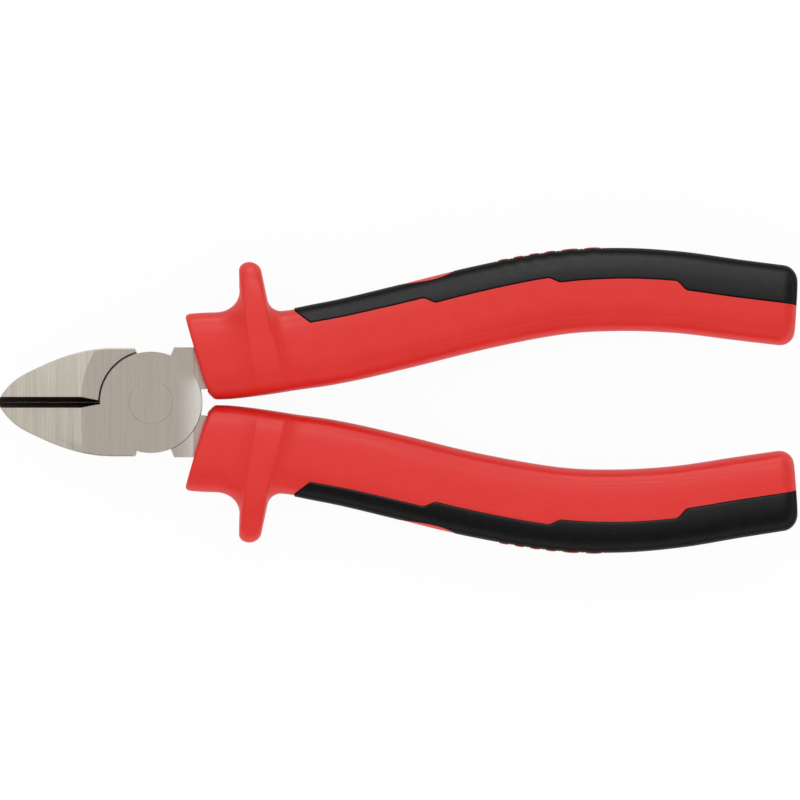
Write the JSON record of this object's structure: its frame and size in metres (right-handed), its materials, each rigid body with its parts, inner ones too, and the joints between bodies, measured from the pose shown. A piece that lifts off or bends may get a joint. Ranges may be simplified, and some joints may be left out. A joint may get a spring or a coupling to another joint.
{
  "type": "diagonal cutting pliers",
  "caption": "Diagonal cutting pliers with tapered jaws, a riveted lap joint and curved red and black moulded grips with slip guards.",
  "frame": {"origin": "on the pivot axis, in the plane of the flat back of the joint", "axes": "+X from the pivot towards the handles, +Y towards the upper handle, +Z along the pivot axis, out of the front face"},
  "size_m": [0.16, 0.0615, 0.0148],
  "materials": {
    "forged_steel": "satin ground",
    "rivet_steel": "ground flush",
    "red_sleeve": "fine satin moulding",
    "black_soft_zone": "matt soft-touch"
  },
  "bodies": {
    "front_half": {"front_jaw_half": "forged_steel", "pivot_rivet": "rivet_steel", "upper_grip_sleeve": "red_sleeve", "upper_soft_grip": "black_soft_zone"},
    "rear_half": {"rear_jaw_half": "forged_steel", "lower_grip_sleeve": "red_sleeve", "lower_soft_grip": "black_soft_zone"}
  },
  "joints": [
    {"name": "jaw_pivot", "type": "hinge", "parent": "front_half", "child": "rear_half", "pos_m": [0, 0, 0.005], "axis": [0, 0, -1], "range_deg": [0, 36]}
  ]
}
